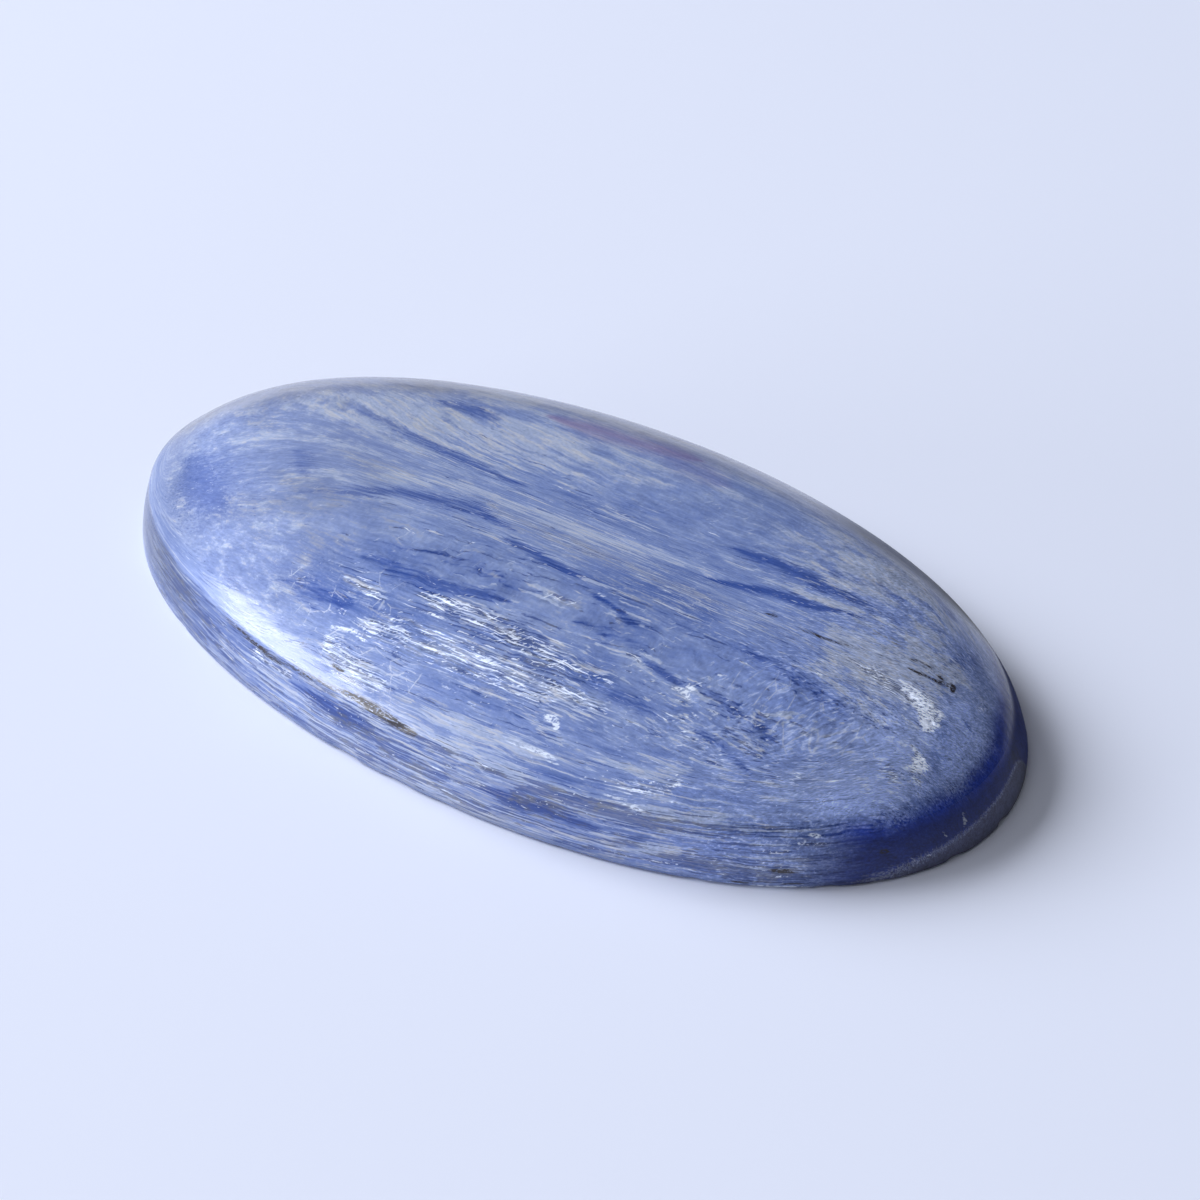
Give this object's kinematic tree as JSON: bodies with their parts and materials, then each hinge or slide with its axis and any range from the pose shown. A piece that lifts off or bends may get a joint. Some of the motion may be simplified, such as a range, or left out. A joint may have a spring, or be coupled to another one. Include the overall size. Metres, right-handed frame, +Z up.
{
  "type": "kyanite cabochon",
  "caption": "Polished oval cabochon of blue kyanite with a low, broad-shouldered dome, a fine fibrous grain along its length and a flat back.",
  "frame": {"origin": "middle of the flat back, which is the middle of the bottom of the bounding box", "axes": "+X along the oval towards its fuller and slightly lower end, +Y across the oval, +Z up out of the domed top"},
  "size_m": [0.042, 0.0222, 0.0067],
  "materials": {
    "polished_kyanite": "high polish over fine fibrous grain, with small pits and scratches"
  },
  "bodies": {
    "root": {"kyanite_cabochon": "polished_kyanite"}
  },
  "joints": []
}
